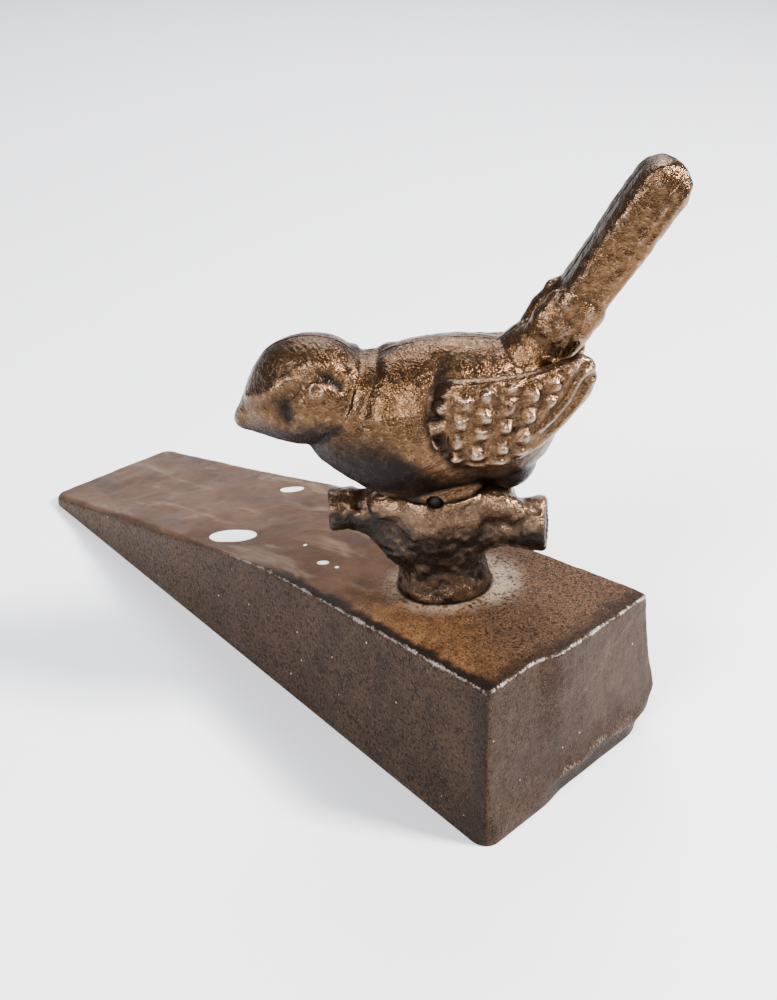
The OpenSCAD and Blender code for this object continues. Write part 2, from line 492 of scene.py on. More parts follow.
def makeStudio():
    world = bpy.data.worlds.new("studio")
    world.use_nodes = True
    sky = world.node_tree.nodes["Background"]
    sky.inputs["Color"].default_value = (*studio["sky"], 1)
    sky.inputs["Strength"].default_value = studio["skyStrength"]
    bpy.context.scene.world = world
    bpy.context.scene.view_settings.look = studio["look"]
    for name, lamp in studio["lamps"].items():
        addLamp(name, *lamp)
    reach = studio["floorReach"]
    mesh = bpy.data.meshes.new("floor")
    corners = [(-reach, -reach, 0), (reach, -reach, 0), (reach, reach, 0), (-reach, reach, 0)]
    mesh.from_pydata(corners, [], [(0, 1, 2, 3)])
    floor = place("floor", mesh)
    paper = Recipe("paper")
    floor.data.materials.append(paper.set(Base_Color=studio["paper"], Roughness=0.7))


makeStudio()
print("studio set")


# white spots on the wedge's top: x, y, half length, half width, and the degrees that the long way is turned
whiteSpotShapes = [
    (-8.5, -11.5, 5.4, 3.0, 25), (-17.2, 11.8, 2.9, 1.6, 24), (18.1, -9.6, 1.2, 0.8, 35),
    (21.7, -9.2, 0.45, 0.4, 0), (9.3, -6.7, 0.4, 0.4, 0),
]


# 1 inside the ellipses of the white spots.
def whiteSpotMask(r):
    whiteSpots = None
    for x, y, long, short, turn in whiteSpotShapes:
        c, s = math.cos(math.radians(turn)), math.sin(math.radians(turn))
        u = ((r.x - x * mm) * c + (r.y - y * mm) * s) / (long * mm)
        v = ((r.y - y * mm) * c - (r.x - x * mm) * s) / (short * mm)
        oneSpot = (u * u + v * v).step(1.06, 0.94)
        whiteSpots = oneSpot if whiteSpots is None else (whiteSpots + oneSpot).clamped()
    return whiteSpots


def wedgeIron():
    r = Recipe("wedge iron")
    top, heel, broken, lip = [r.mask(name) for name in ("topFace", "heelFace", "broken", "lip")]
    sideEdge, heelEdge, foot = [r.mask(name) for name in ("sideEdge", "heelEdge", "footRing")]
    cloud = r.noise(14, 4, 0.6)
    mottle = r.noise(2.6, 4, 0.65)
    grain = r.noise(0.32, 2, 0.7)
    pits = r.noise(0.42, 3, 0.75)
    coarse = r.noise(0.62, 2, 0.65)
    blotch, drift, nick = mottle - 0.5, cloud - 0.5, pits - 0.5
    near = r.y.step(0.001, -0.002)
    # long sides: matt grey-brown, paler towards the toe, darker by the heel
    side = r.over(
        r.mix((0.032, 0.019, 0.012), (0.070, 0.043, 0.028), (cloud * 0.7 + mottle * 0.6).step(0.45, 0.85)),
        ((0.105, 0.068, 0.045), (r.x + drift * 0.03).step(0.050, -0.050) * 0.55),
        ((0.008, 0.0055, 0.0045), coarse.step(0.50, 0.60) * 0.75),
        ((0.18, 0.125, 0.090), grain.step(0.42, 0.30) * 0.6),
        ((0.011, 0.008, 0.007), (r.x + blotch * 0.01).step(0.064, 0.074) * 0.6))
    # ramp: smoother, reddish, with pale and dark smears
    paleSmear = r.noise(7, 3, 0.6, stretch=(0.35, 1.6, 1.0), warp=0.6)
    darkSmear = r.noise(9, 4, 0.6, stretch=(0.6, 1.2, 1.0))
    ramp = r.over(
        r.mix((0.078, 0.039, 0.021), (0.138, 0.077, 0.047), (cloud * 0.8 + mottle * 0.4).step(0.42, 0.78)),
        ((0.25, 0.175, 0.12), paleSmear.step(0.52, 0.70) * 0.6),
        ((0.050, 0.036, 0.030), darkSmear.step(0.54, 0.68) * 0.6))
    # plateau: orange-brown with dark grains
    far = (r.y * 0.7 + r.x * 0.3 + drift * 0.02).step(0.004, 0.018)
    plateau = r.over(
        r.mix((0.130, 0.062, 0.028), (0.285, 0.150, 0.068), (cloud * 0.5 + mottle * 0.7).step(0.42, 0.80)),
        ((0.110, 0.066, 0.044), far * 0.8),
        ((0.024, 0.014, 0.009), pits.step(0.47, 0.62) * 0.70),
        ((0.016, 0.010, 0.007), coarse.step(0.53, 0.62) * (0.45 + 0.35 * far)),
        ((0.50, 0.36, 0.25), grain.step(0.38, 0.28) * 0.75))
    # pale rubbed ring round the branch's foot, wide and dusty only towards the far edge
    wide = (r.x + 1.2 * r.y + blotch * 0.010).step(0.047, 0.064)
    ring = foot + blotch * 5.0 + drift * 3.0 + (coarse - 0.5) * 3.0 - wide * 2.8
    ring = ring.step(4.0, -0.6) * (0.50 + 0.32 * wide) * (coarse + blotch * 0.8).step(0.72, 0.44)
    # painted shade in the corner where the branch's foot meets the wedge
    footShade = (foot + blotch * 0.8).step(0.7, 0.1)
    # dark band along the near edge, and a thinner one along the heel's edge
    band = (sideEdge + nick * 3.0 + blotch * 2.5 + drift * 2.0).step(2.8, 1.4)
    band = band * near * r.x.step(0.004, 0.020)
    band = (band + (heelEdge + nick * 7.0 + blotch * 5.0).step(4.0, 0.6) * 0.75).clamped()
    upper = r.over(
        r.mix(ramp, plateau, (r.x + blotch * 0.014).step(0.024, 0.048)),
        ((0.42, 0.335, 0.26), ring.clamped()), ((0.012, 0.009, 0.008), footShade * 0.8),
        ((0.012, 0.010, 0.009), band * 0.9))
    # heel: pinkish brown, a little brushed
    brush = r.noise(1.4, 3, 0.6, stretch=(1.0, 1.2, 0.45))
    back = r.over(
        r.mix((0.037, 0.021, 0.013), (0.071, 0.042, 0.027), (cloud * 0.6 + brush * 0.7).step(0.45, 0.85)),
        ((0.012, 0.008, 0.006), coarse.step(0.50, 0.60) * (0.7 - 0.35 * r.y.step(-0.005, 0.012))),
        ((0.18, 0.130, 0.100), grain.step(0.42, 0.28) * 0.5),
        # painted shade: the broken lower edge, which leans in under the lip, is darkened
        ((0.022, 0.015, 0.012), broken * 0.75),
        ((0.34, 0.26, 0.21), lip * (pits + blotch * 0.5).step(0.50, 0.64) * 0.8))
    # worn bright edges, broken up by the grain
    ragged = blotch * 1.4 + nick * 1.3
    worn = (heelEdge + ragged).step(0.50, 0.10) * r.z.step(0.025, 0.027)
    worn = worn + (sideEdge + ragged).step(0.44, 0.04) * r.x.step(-0.01, 0.012) * near * 0.8
    worn = worn.clamped()
    # pale specks of dust, thickest near the floor
    often = 0.006 + 0.06 * r.z.step(0.006, 0.001) * mottle.step(0.50, 0.62)
    dust = (r.cells(0.9, "Color") + often).step(0.993, 0.997) * r.cells(0.9).step(0.24, 0.14) * (1 - top)
    # white spots on the top: pure white, glossier, raised, and not metallic
    whiteSpots = whiteSpotMask(r) * top
    colour = r.over(
        r.mix(r.mix(side, upper, top), back, heel),
        ((0.42, 0.38, 0.345), worn), ((0.50, 0.45, 0.38), dust), ((0.95, 0.95, 0.94), whiteSpots))
    matt = 0.46 + blotch * 0.25 - worn * 0.16 - top * r.x.step(0.03, 0.0) * 0.06 - whiteSpots * 0.1
    relief = grain * 0.6 + pits * 1.0 * (0.45 + 0.55 * top * r.x.step(0.012, 0.045)) + whiteSpots * 0.6
    metal = (0.42 + worn * 0.35 - whiteSpots * 0.42).clamped()
    normal = r.bump(relief, 0.24, 1.0)
    return r.set(Base_Color=colour, Roughness=matt, Metallic=metal, Specular_IOR_Level=0.2, Normal=normal)


# Dark lacquer in the hollows, with painted shade on the crown, lore, brow, underside, wing's front and tail's
# upper face; rubbed to golden brown elsewhere, and to bare metal on the ridges, which also carries a painted
# highlight.
def birdBronze():
    r = Recipe("bird bronze")
    ridge, patina = r.mask("ridge"), r.mask("patina")
    cloud = r.noise(5, 3, 0.6)
    mottle = r.noise(1.2, 3, 0.65)
    crystal = r.noise(0.45, 2, 0.75)
    blotch = mottle - 0.5
    # dark lacquer in the hollows, and painted shade on the crown, creases, belly and tail top
    rubAndPaintedLight = ridge * 1.5 - 0.75 + patina * 1.05 - 0.15 + (cloud - 0.5) * 0.6 + blotch * 0.5
    rubAndPaintedLight = rubAndPaintedLight.step(-0.1, 1.1)
    # bare metal on the ridges, pale and smoother; it also serves as a painted highlight
    bareMetalGlint = (ridge + blotch * 0.5).step(0.55, 1.05) * patina
    colour = r.over(
        r.mix((0.012, 0.008, 0.0065), (0.128, 0.074, 0.040), rubAndPaintedLight),
        ((0.36, 0.25, 0.155), rubAndPaintedLight * (crystal + blotch * 0.3).step(0.50, 0.74) * 0.5),
        ((0.050, 0.029, 0.019), rubAndPaintedLight * mottle.step(0.50, 0.38) * 0.25),
        ((0.40, 0.31, 0.245), bareMetalGlint * 0.7))
    rough = 0.22 - bareMetalGlint * 0.04 + blotch * 0.12
    relief = r.bump(mottle, 0.40, 0.38, r.bump(crystal, 0.20, 0.8))
    metal = 0.50 + rubAndPaintedLight * 0.48
    return r.set(Base_Color=colour, Roughness=rough, Metallic=metal, Specular_IOR_Level=0.25, Normal=relief)


# Darker than the bird and rubbed on its ridges, with painted light where it faces up and on the saddle's
# flank; the stubs and their sawn ends are darker.
def branchIron():
    r = Recipe("branch iron")
    ridge, upward, sawn = [r.mask(name) for name in ("ridge", "upward", "sawn")]
    cloud = r.noise(5, 3, 0.6)
    mottle = r.noise(1.1, 3, 0.65)
    crystal = r.noise(0.45, 2, 0.75)
    blotch = mottle - 0.5
    # painted light: faces that look up are made brighter
    paintedUpLight = upward.step(-0.35, 0.35)
    rubAndPaintedLight = ridge * 1.3 - 0.65 + paintedUpLight * 0.45 - 0.12 + (cloud - 0.5) * 1.2 + blotch * 0.6
    # the square of the distance from the bolt, forwards or back: a stub starts 9.5 to 14 mm out
    out = (r.x - footPlace[0] * mm) * float(turned[0, 0]) + r.y * float(turned[1, 0])
    rubAndPaintedLight = rubAndPaintedLight.step(-0.1, 1.05) - 0.30 * (out * out).step(9.5e-3 ** 2, 14e-3 ** 2)
    # painted light: the saddle's flank, high on the branch, is made brightest
    rubAndPaintedLight = (rubAndPaintedLight + 0.55 * r.z.step(0.0405, 0.046)).clamped() * (1 - 0.7 * sawn)
    colour = r.over(
        r.mix((0.017, 0.012, 0.009), (0.165, 0.101, 0.061), rubAndPaintedLight),
        ((0.42, 0.32, 0.23), rubAndPaintedLight * crystal.step(0.52, 0.74) * 0.5))
    rough = 0.20 + (crystal - 0.5) * 0.15 + blotch * 0.15 + sawn * 0.2
    relief = r.bump(mottle, 0.40, 0.6, r.bump(crystal, 0.18, 0.8))
    metal = 0.35 + rubAndPaintedLight * 0.50
    return r.set(Base_Color=colour, Roughness=rough, Metallic=metal, Specular_IOR_Level=0.3, Normal=relief)


# A small steel part's surface, with a fine grain in its gloss and its relief.
def grained(r, colour, fine, rough, metal, depth, strength):
    relief = r.bump(fine, depth, strength)
    return r.set(Base_Color=colour, Roughness=rough + fine * 0.2, Metallic=metal, Normal=relief)


def zincSteel():
    r = Recipe("zinc steel")
    spangle = r.noise(1.8, 3, 0.6)
    colour = r.over(r.mix((0.30, 0.31, 0.32), (0.52, 0.53, 0.54), spangle),
                    ((0.16, 0.11, 0.07), spangle.step(0.62, 0.74) * 0.6))
    return grained(r, colour, r.noise(0.3, 2, 0.6), 0.30, 0.95, 0.03, 0.5)


def screwSteel():
    r = Recipe("worn screw")
    colour = r.mix((0.20, 0.15, 0.11), (0.42, 0.38, 0.34), r.noise(1.5, 4, 0.65).step(0.40, 0.62))
    return grained(r, colour, r.noise(0.25, 2, 0.6), 0.36, 0.85, 0.04, 0.6)


def pinSteel():
    r = Recipe("blackened pin")
    fine = r.noise(0.3, 3, 0.6)
    return grained(r, r.mix((0.012, 0.011, 0.011), (0.05, 0.042, 0.036), fine), fine, 0.45, 0.7, 0.03, 0.5)


wedgeShape = {
    "length": 150, "heelWidth": 48, "toeWidth": 34, "heelHeight": 30, "toeHeight": 2.0,
    "bendAt": 9, "bendHeight": 23.5, "bendSoftness": 5.0,
    "heelLean": 8, "sideLean": 6.5,  # degrees
    "topEdge": 0.75, "toeEdge": 1.6, "floorEdge": 0.35, "toeCorner": 3.0,
    "nearCorner": (1.0, 3.4), "farCorner": (1.2, 9.0),  # at the top, at the floor
    "counterbore": 7.5, "clampDepth": 16.1,
}


# Height of the top: the ramp's line and the plateau's line, blended by a soft minimum,
# (a + b - sqrt((a - b)^2 + s / 4)) / 2.
def wedgeTop(x):
    w = wedgeShape
    heelTop = w["length"] / 2 - w["heelHeight"] * math.tan(math.radians(w["heelLean"]))
    past = x - w["bendAt"]
    ramp = w["bendHeight"] + (w["bendHeight"] - w["toeHeight"]) / (w["bendAt"] + w["length"] / 2) * past
    flat = w["bendHeight"] + (w["heelHeight"] - w["bendHeight"]) / (heelTop - w["bendAt"]) * past
    gap = ramp - flat
    return (ramp + flat - np.sqrt(gap * gap + 0.25 * w["bendSoftness"])) / 2


# Half width at x and height z: the floor's half width, which tapers to the toe, less z times tan(side lean).
def wedgeHalf(x, z):
    w = wedgeShape
    floorHalf = w["toeWidth"] / 2 + (w["heelWidth"] - w["toeWidth"]) / 2 * (x / w["length"] + 0.5)
    return floorHalf - z * math.tan(math.radians(w["sideLean"]))


# A round corner of radius r in plan, at distance d from its end: r - sqrt(r^2 - (r - d)^2).
def cornerLoss(d, r):
    e = np.clip(r - d, 0, None)
    return r - np.sqrt(np.maximum(r * r - e * e, 0))


# The unit section, counterclockwise from the floor's near corner: a quarter circle at each corner, then the
# straight stretch to the next. A point is u from -1 (near) to 1 (far), k from 0 (floor) to 1 (top), and the
# cosine and sine of its angle, which are both 0 on a stretch.
def sectionPoints():
    arc = np.linspace(0, math.pi / 2, 9)
    corners = [(-1, 0), (1, 0), (1, 1), (-1, 1)]
    run = []
    for i, count in enumerate((40, 34, 70, 34)):
        (u, k), (nextU, nextK) = corners[i], corners[(i + 1) % 4]
        turn = arc + (i - 2) * math.pi / 2
        t = np.linspace(0, 1, count + 2)[1:-1]
        run.append(np.stack([0 * arc + u, 0 * arc + k, np.cos(turn), np.sin(turn)], axis=-1))
        run.append(np.stack([u + (nextU - u) * t, k + (nextK - k) * t, 0 * t, 0 * t], axis=-1))
    return np.concatenate(run)


# Radius of the heel's upright corners at height share k: small at the top, growing towards the floor.
def cornerRadius(u, k):
    w = wedgeShape
    lower = smoothStep(0.27 - k, 0.0, 0.27)
    near = w["nearCorner"][0] + (w["nearCorner"][1] - w["nearCorner"][0]) * lower
    far = w["farCorner"][0] + (w["farCorner"][1] - w["farCorner"][0]) * lower
    return np.where(u < 0, near, far)


# Rings from toe to heel. Along each ring a point is its corner's place plus the quarter circle's offset; near
# both ends the half widths shrink as a round corner does, and the heel end leans back with height.
def wedgeRings():
    w = wedgeShape
    section = sectionPoints()
    u, k, c, s = section.T
    turnIn = np.linspace(0, math.pi / 2, 17)[:-1]
    toeSteps = w["toeCorner"] * (1 - np.cos(turnIn))
    heelSteps = w["farCorner"][1] * (1 - np.cos(turnIn))[::-1]
    body = np.linspace(w["toeCorner"], w["length"] - w["farCorner"][1], 230)
    along = np.concatenate([toeSteps, body, w["length"] - heelSteps])[:, None]
    lean = math.tan(math.radians(w["heelLean"]))
    share = along / w["length"]
    x = -w["length"] / 2 + share * (w["length"] - k * w["heelHeight"] * lean)
    fromHeel = w["length"] - along
    top = wedgeTop(x) - cornerLoss(fromHeel, w["topEdge"]) - cornerLoss(along, 0.6)
    low = cornerLoss(fromHeel, w["floorEdge"]) + cornerLoss(along, 0.4)
    plan = cornerLoss(fromHeel, cornerRadius(u, k))
    plan = plan + cornerLoss(along, w["toeCorner"])
    topRadius = np.minimum(w["topEdge"] + (w["toeEdge"] - w["topEdge"]) * smoothStep(-x, 5, 30), 0.42 * top)
    radius = np.where(k > 0.5, topRadius, np.minimum(w["floorEdge"], 0.42 * top))
    onCorner = (c != 0) | (s != 0)
    # straight stretches run between the ends of the quarter circles
    kIn = low + radius + k * (top - low - 2 * radius)
    z = np.where(onCorner, np.where(k > 0.5, top - radius, low + radius) + radius * s, kIn)
    z = np.where((np.abs(u) < 1) & ~onCorner, np.where(k > 0.5, top, low), z)
    half = wedgeHalf(x, z) - plan
    flatHalf = half - radius
    y = np.where(np.abs(u) < 1, u * flatHalf, u * half)
    y = np.where(onCorner, np.sign(u) * flatHalf + radius * c, y)
    return np.stack([np.broadcast_to(x, z.shape), y, z], axis=-1)


# Shrinks a flat end ring towards its middle in steps, which closes the end with an even grid.
def endRings(ring, steps):
    middle = ring.mean(axis=0)
    t = np.linspace(0, 1, steps + 2)[1:-1]
    return ring[None] + (middle - ring)[None] * t[:, None, None]


# Height of the heel's broken lower edge, and 0 to 1 for a point's way past the near third, where it starts.
def brokenEdge(p):
    return 3.6 + 0.9 * lumps(p, 5.0, 61), smoothStep(p[:, 1], -9, -3)


# Distance from the branch's foot, in the plane square to the bolt.
def fromFoot(p):
    q = (p - footPlace) @ turned
    return np.hypot(q[:, 0], q[:, 1]) - footRadius


# Worn places of the wedge: casting swells and grain, a bulge by the heel's far corner, the broken edge, which
# leans in under a raised lip, the collar round the foot, a scratch and a dent.
def wearWedge(p, n):
    x, y, z = p.T
    up = smoothStep(n[:, 2], 0.5, 0.9)
    out = 0.22 * layered(p, 16, 3, 2) * (1 - 0.7 * smoothStep(x, 52, 66)) + 0.07 * layered(p, 3.0, 5, 3)
    out += smoothStep(x, 5, 35) * up * 0.06 * layered(p, 1.3, 9, 2)
    moved = p + out[:, None] * n * smoothStep(z, 0.0, 1.2)[:, None]
    moved[:, 1] += (0.3 + 1.5 * bell(z - 8, 6.0) * smoothStep(x, 45, 72)) * smoothStep(y, 8, 19)
    moved[:, 1] -= 0.25 * smoothStep(-y, 5, 15) * smoothStep(8 - z, 0, 6)
    moved[:, 0] += 0.3 * smoothStep(x, 64, 72) * smoothStep(7 - z, 0, 5)
    edge, broken = brokenEdge(p)
    edge = edge + 0.4 * lumps(p, 1.7, 62)
    broken = broken * smoothStep(x, 66, 71)
    moved[:, 0] -= np.minimum(np.clip(edge - z, 0, None) * 0.9, 0.40 + 0.08 * (edge - z)) * broken
    moved[:, 0] += 0.38 * bell(z - edge - 0.6, 0.7) * (0.7 + 0.6 * lumps(p, 1.4, 63)) * broken
    moved[:, 2] += 0.5 * bell(fromFoot(p) - 0.2, 1.3) * (0.8 + 0.4 * lumps(p, 3.0, 66)) * up
    scratch = distanceTo([(36, 16.5), (41, 11.8), (46.5, 12.8)], x, z)
    moved[:, 1] += 0.10 * bell(scratch, 0.45) * (n[:, 1] < -0.8)
    dent = np.hypot(y + 3.0, z - 24.0)
    moved[:, 0] -= 0.25 * bell(dent, 1.6) * lumps(p, 1.2, 64) * (n[:, 0] > 0.8)
    moved[:, 2] = np.maximum(moved[:, 2], 0)
    return moved


def makeWedge(material):
    rings = wedgeRings()
    whole = np.concatenate([endRings(rings[0], 6)[::-1], rings, endRings(rings[-1], 26)])
    wedge = place("wedge", shellMesh("wedge", [whole]))
    mesh = wedge.data
    p = getPoints(mesh)
    setPoints(mesh, wearWedge(p, getNormals(mesh)))
    w = wedgeShape
    x, y, z = p.T
    below = wedgeTop(x) - z
    inside = wedgeHalf(x, z) - np.abs(y)
    heelX = w["length"] / 2 - z * math.tan(math.radians(w["heelLean"]))
    n = getNormals(mesh)
    edge, broken = brokenEdge(p)
    setMasks(
        mesh, topFace=smoothStep(n[:, 2], 0.60, 0.85), heelFace=smoothStep(n[:, 0], 0.62, 0.85),
        sideEdge=np.maximum(below, inside), heelEdge=np.maximum(below, heelX - x), footRing=fromFoot(p),
        lip=bell(z - edge - 0.7, 0.55) * broken, broken=smoothStep(edge + 0.4 - z, 0, 0.8) * broken)
    bore = turnedRings([(boltBore, -60), (boltBore, 20)], 48)
    wide, floor = w["counterbore"], -w["clampDepth"]
    deep = turnedRings([(wide, -60), (wide, floor - 0.4), (wide - 0.4, floor)], 64)
    cut(wedge, [tool("bore", onFigure(bore)), tool("counterbore", onFigure(deep))])
    finish(wedge, "base", "wedge_iron", material, "wedge_base")


makeWedge(wedgeIron())
print("wedge made")

birdShape = {
    "voxel": 0.42, "smoothing": 4, "seat": 21.02,
    # x, centre y, centre z, half width, half height, from breast to rump
    "body": [
        (22.4, 0, 32.2, 0, 0), (21.2, 0, 32.3, 4.2, 3.6), (18, 0, 32.5, 7.9, 6.6), (14, 0, 32.7, 10.6, 9.8),
        (10, 0, 32.9, 12.2, 12.3), (5, 0, 33.4, 13, 13.7), (0, 0, 34.1, 13.2, 13.7),
        (-5.5, 0, 34.8, 12.8, 13.1), (-13, 0, 34.5, 11, 12), (-17.5, 0, 34.7, 8.8, 9.9),
        (-20.8, 0, 35.4, 5, 5.8), (-22, 0, 36, 0, 0),
    ],
    # the head runs out into the short beak
    "head": [
        (9.3, 0, 40.1, 0, 0), (10.4, 0, 39.5, 4.8, 4.2), (15, 0, 39.7, 9, 8.5), (20, 0, 40.2, 9.3, 9.7),
        (25, 0, 40.1, 8.2, 9.1), (28.4, 0, 39.6, 6.3, 7.6), (31.3, 0, 38.1, 3.8, 5.1),
        (33.2, 0, 36.4, 2.1, 2.7), (34.4, 0, 35.8, 1.1, 1.4), (35, 0, 35.7, 0, 0),
    ],
    "wing": [
        (1.2, 9.8, 37.6, 0, 0), (0.5, 10.2, 37.4, 1.6, 4.6), (-2, 11.1, 36.9, 2.6, 7.2),
        (-5.5, 11.4, 36.3, 2.9, 8.2), (-12, 10.6, 36.5, 3, 7.7), (-17.4, 9.3, 37.9, 2.7, 6.8),
        (-21.5, 8.2, 39.8, 2.3, 5.6), (-24.2, 7.4, 41.4, 1.9, 4.4), (-26, 6.9, 41.9, 1.4, 2.9),
        (-27, 6.6, 42, 0, 0),
    ],
    # x, z of the wing's lower edge and of the groove in front of it
    "wingEdge": [
        (-2.5, 29.4), (-7, 28), (-12.1, 28.6), (-17.2, 31), (-21.5, 34.1), (-24.6, 37.2), (-26.6, 40.4),
    ],
    "wingFront": [(-1.5, 46), (-0.1, 42.5), (0.3, 38), (-0.4, 33), (-3.2, 29), (-7, 27)],
    "hollow": {"centre": (-1.5, 0, 33.8), "radii": (17.5, 9.2, 9.2), "pitch": -5, "floor": 24.5},
}
tailShape = {
    "rootX": -17.35, "rootZ": 42.3, "tilt": 54.0, "start": -4, "length": 39.8, "tip": 4.8,
    # distance along the tail, half depth, half width, up to its tip
    "stations": [
        (-4, 3.7, 3.8), (2, 4.1, 4.4), (12, 4.15, 4.7), (24, 4.35, 5), (35.8, 4.5, 5.2), (39.8, 4.3, 5),
    ],
}


# A boxy section carried straight up the tail; the tip rounds over as a circle does.
def tailRings(count=110, around=72):
    s = tailShape
    along = splineThrough(s["stations"], count)
    t = np.linspace(s["start"], s["length"], count)
    tip = np.sqrt(np.maximum(1 - (1 - np.clip((s["length"] - t) / s["tip"], 0, 1)) ** 2, 0))
    depth, width = along[:, 1] * tip, along[:, 2] * (0.45 + 0.55 * tip)
    c, d = squareCircle(circle(around), 5)
    tilt = math.radians(s["tilt"])
    x = s["rootX"] - t[:, None] * math.cos(tilt) + depth[:, None] * d * math.sin(tilt)
    z = s["rootZ"] + t[:, None] * math.sin(tilt) + depth[:, None] * d * math.cos(tilt)
    return np.stack([x, width[:, None] * c, z], axis=-1)


# Distances along the tail from its root, and across it towards its upper face.
def tailPlace(x, z):
    tilt = math.radians(tailShape["tilt"])
    dx, dz = x - tailShape["rootX"], z - tailShape["rootZ"]
    return dz * math.sin(tilt) - dx * math.cos(tilt), dx * math.sin(tilt) + dz * math.cos(tilt)


def birdGrids():
    wing = ovalRings(birdShape["wing"], 90, 80, 2.4)
    covert = egg((-20.6, 2.5, 49.2), (8.4, 2.9, 4.2), 180 - tailShape["tilt"])
    return [
        ovalRings(birdShape["body"], 120, 96), ovalRings(birdShape["head"], 110, 84),
        egg((10.8, 0, 37.0), (8.5, 9.8, 8.9), 24), egg((-16.5, 0, 42.5), (8, 6.5, 6.5), -50),
        turnedRings([(0.05, 19.4), (8.6, 19.4), (9.0, 22), (7.5, 28), (0.05, 28)], 48),
        egg((-12.0, 0, 25.2), (5.6, 6.4, 6.2), 20),
        wing, mirrored(wing), covert, mirrored(covert), tailRings(),
    ]


# Round-ended feathers in staggered rows, each with a knob near its tip. Along a feather the lift grows as
# t ^ 1.4 and rolls off at its round end; the row in front lies over the one behind it.
def featherRows(along, across, length, breadth):
    best = np.zeros_like(along)
    for back in (0, 1):
        row = np.floor(along / length) - back
        t = along / length - row
        side = across / breadth + 0.5 * (row % 2)
        side = side - np.round(side)
        reach = 0.85 + 0.5 * np.sqrt(np.maximum(1 - (2 * side) ** 2, 0))
        lift = np.clip(t / reach, 0, 1) ** 1.4 * (1 - 2.4 * side ** 2)
        knob = bell(np.hypot((t - 1.0) * length, side * breadth), 1.45)
        best = np.maximum(best, 0.40 * lift * smoothStep(reach - t, 0.0, 0.34) + 1.05 * knob)
    return best


# Relief of the eye and the face, in mm: the eye's ring, the brow, the cheek, folds of the neck, the lore, the
# ridge over the beak, and fine hatching over the crown.
def faceRelief(p):
    x, y, z = p.T
    eye = np.hypot(x - 19.2, z - 43.2)
    out = 0.24 * bell(eye - 1.05, 0.46) - 0.04 * bell(eye, 0.5)
    brow = bellAlong([(21.8, 43.8), (20.4, 44.9), (18.6, 45.3), (16.9, 44.9), (15.4, 43.6)], 1.0, x, z)
    out -= 0.55 * brow * (0.45 + 0.55 * smoothStep(20 - x, 0, 3))
    out += 0.35 * bellAlong([(21.0, 46.9), (18.4, 47.5), (15.6, 46.6)], 1.1, x, z)
    out += 0.80 * bellAlong([(13.2, 45.0), (12.5, 43.8), (12.1, 42.2), (12.9, 39.6), (14.6, 37.8)], 1.2, x, z)
    out += 0.30 * bellAlong([(10.2, 45.6), (9.9, 42.2), (10.3, 38.6), (11.5, 35.6)], 1.4, x, z)
    out += 0.60 * bellAlong([(7.4, 44.6), (8.2, 41.6), (9.0, 38.6)], 1.5, x, z)
    out -= 0.80 * bellAlong([(23.6, 43.0), (24.6, 40.6), (25.0, 38.4)], 1.6, x, z)
    out += 0.45 * bellAlong([(31.2, 40.8), (27.4, 42.6), (23.9, 44.9)], 0.9, x, z)
    out += 0.35 * bell(np.hypot(x - 28.3, z - 38.0), 2.0)
    crown = smoothStep(z, 44.5, 47.0) * smoothStep(x, 11.0, 14.0)
    out += crown * 0.03 * np.cos(2 * math.pi * (x + 0.7 * np.abs(y) + 0.4 * lumps(p, 3.0, 45)) / 1.1)
    return out * smoothStep(np.abs(y), 1.0, 3.0)


# Relief of the wings, in mm: a sunk rim in front, rows of feathers, then long quills by the lower edge.
def wingRelief(p, n):
    x, y, z = p.T
    s = splineThrough(birdShape["wing"], 200)[::-1]
    middle, half = [np.interp(x, s[:, 0], s[:, k]) for k in (2, 4)]
    onWing = smoothStep(half - np.abs(z - middle), 0.2, 1.8) * smoothStep(np.abs(y), 4.5, 6.5)
    onWing *= smoothStep(np.abs(n[:, 1]), 0.25, 0.5)
    edge = distanceTo(birdShape["wingEdge"], x, z)
    quills = smoothStep(-x, 14.0, 19.0) * smoothStep(6.2 - edge, 0, 2.0)
    along = -x - 0.2 * (z - 36) + 0.2 + 0.45 * lumps(p, 4.0, 31)
    across = z - 0.16 * x + 0.45 * lumps(p, 4.0, 32)
    rows = featherRows(along, across, 3.8, 3.5) * (0.8 + 0.35 * lumps(p, 3.0, 33))
    shoulder = 1 - smoothStep(z, 41.8, 43.8) * smoothStep(x, -9.0, -6.0)
    out = onWing * (1 - quills) * smoothStep(edge, 0.8, 2.4) * (1.25 * rows * shoulder - 0.35)
    out += onWing * quills * 0.24 * np.cos(2 * math.pi * (edge - 1.0) / 2.3)
    return out - 0.6 * bellAlong(birdShape["wingFront"], 1.5, x, z) * smoothStep(np.abs(y), 4, 6)


# How far the bird's skin is pushed out, in mm.
def birdRelief(p, n):
    x, y, z = p.T
    flank = np.abs(y)
    out = 0.12 * layered(p, 5.0, 11) + 0.07 * layered(p, 1.4, 21, 2)
    out += faceRelief(p) + wingRelief(p, n)
    along, across = tailPlace(x, z)
    onTail = smoothStep(along, 13.5, 15.0) * smoothStep(flank, 2.0, 3.4)
    ribs = bell(across + 1.2, 0.7) + bell(across + 3.0, 0.6)
    out += onTail * (0.22 * ribs * smoothStep(along, 22, 30) + 0.10 * layered(p, 1.5, 41, 2) - 0.15)
    covert = smoothStep(along, 3.5, 6.5) * (1 - smoothStep(along, 13.6, 14.6)) * smoothStep(flank, 1.2, 2.6)
    rows = featherRows(along + 0.6, across + 1.2, 4.4, 3.4)
    out += covert * (0.35 * rows + 0.16 * layered(p, 1.8, 43, 2) + 0.1)
    # parting line of the two castings
    return out - 0.14 * bell(y, 0.25) * (0.75 + 0.25 * lumps(p, 2.0, 51))
